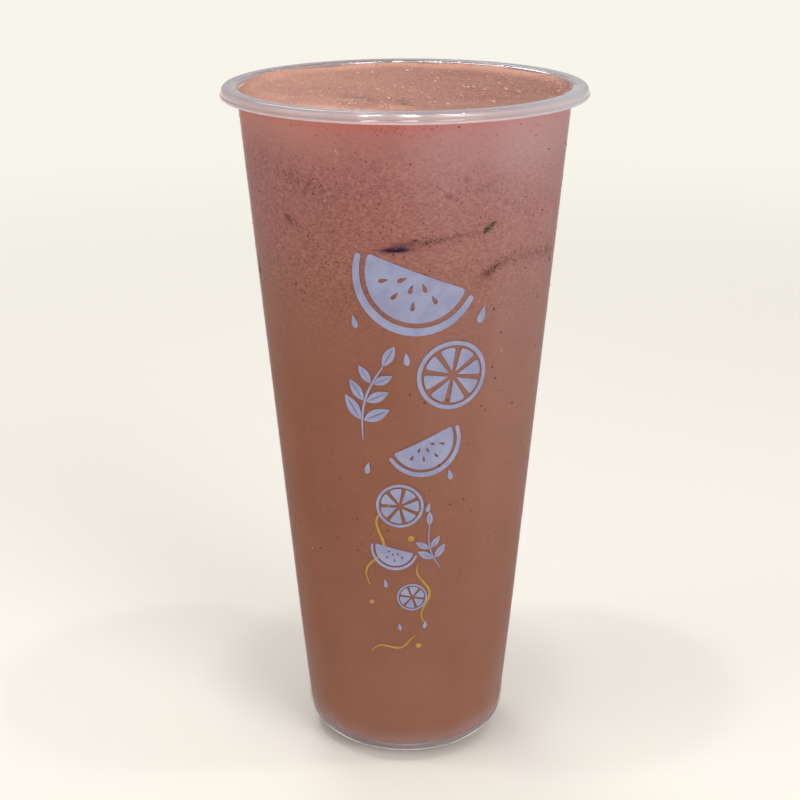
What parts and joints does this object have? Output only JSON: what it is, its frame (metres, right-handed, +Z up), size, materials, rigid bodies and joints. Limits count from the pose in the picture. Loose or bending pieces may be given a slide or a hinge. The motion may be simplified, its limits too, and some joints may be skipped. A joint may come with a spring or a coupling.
{
  "type": "watermelon lemonade in a tall takeaway cup",
  "caption": "Frothy blended watermelon lemonade filling a tall tapered clear plastic cup with a rolled rim and a rounded foot.",
  "frame": {"origin": "middle of the cup's foot, on the surface it stands on", "axes": "+Z up along the cup's axis, towards the brim; -Y towards the printed front"},
  "size_m": [0.095, 0.095, 0.183],
  "materials": {
    "cup_plastic": "clear, slightly hazy polypropylene with a smooth gloss",
    "lemonade": "opaque brownish-pink fruit juice with fine dark specks and pale pulp",
    "froth": "wet fine-bubbled pink froth",
    "leaf": "wet dark green herb and rind flecks",
    "print_ink": "satin lavender screen-print ink, with thin ochre lines",
    "ochre_ink": "satin ochre screen-print ink"
  },
  "bodies": {
    "root": {"cup": "cup_plastic", "lemonade": "lemonade", "froth": "froth"}
  },
  "joints": []
}
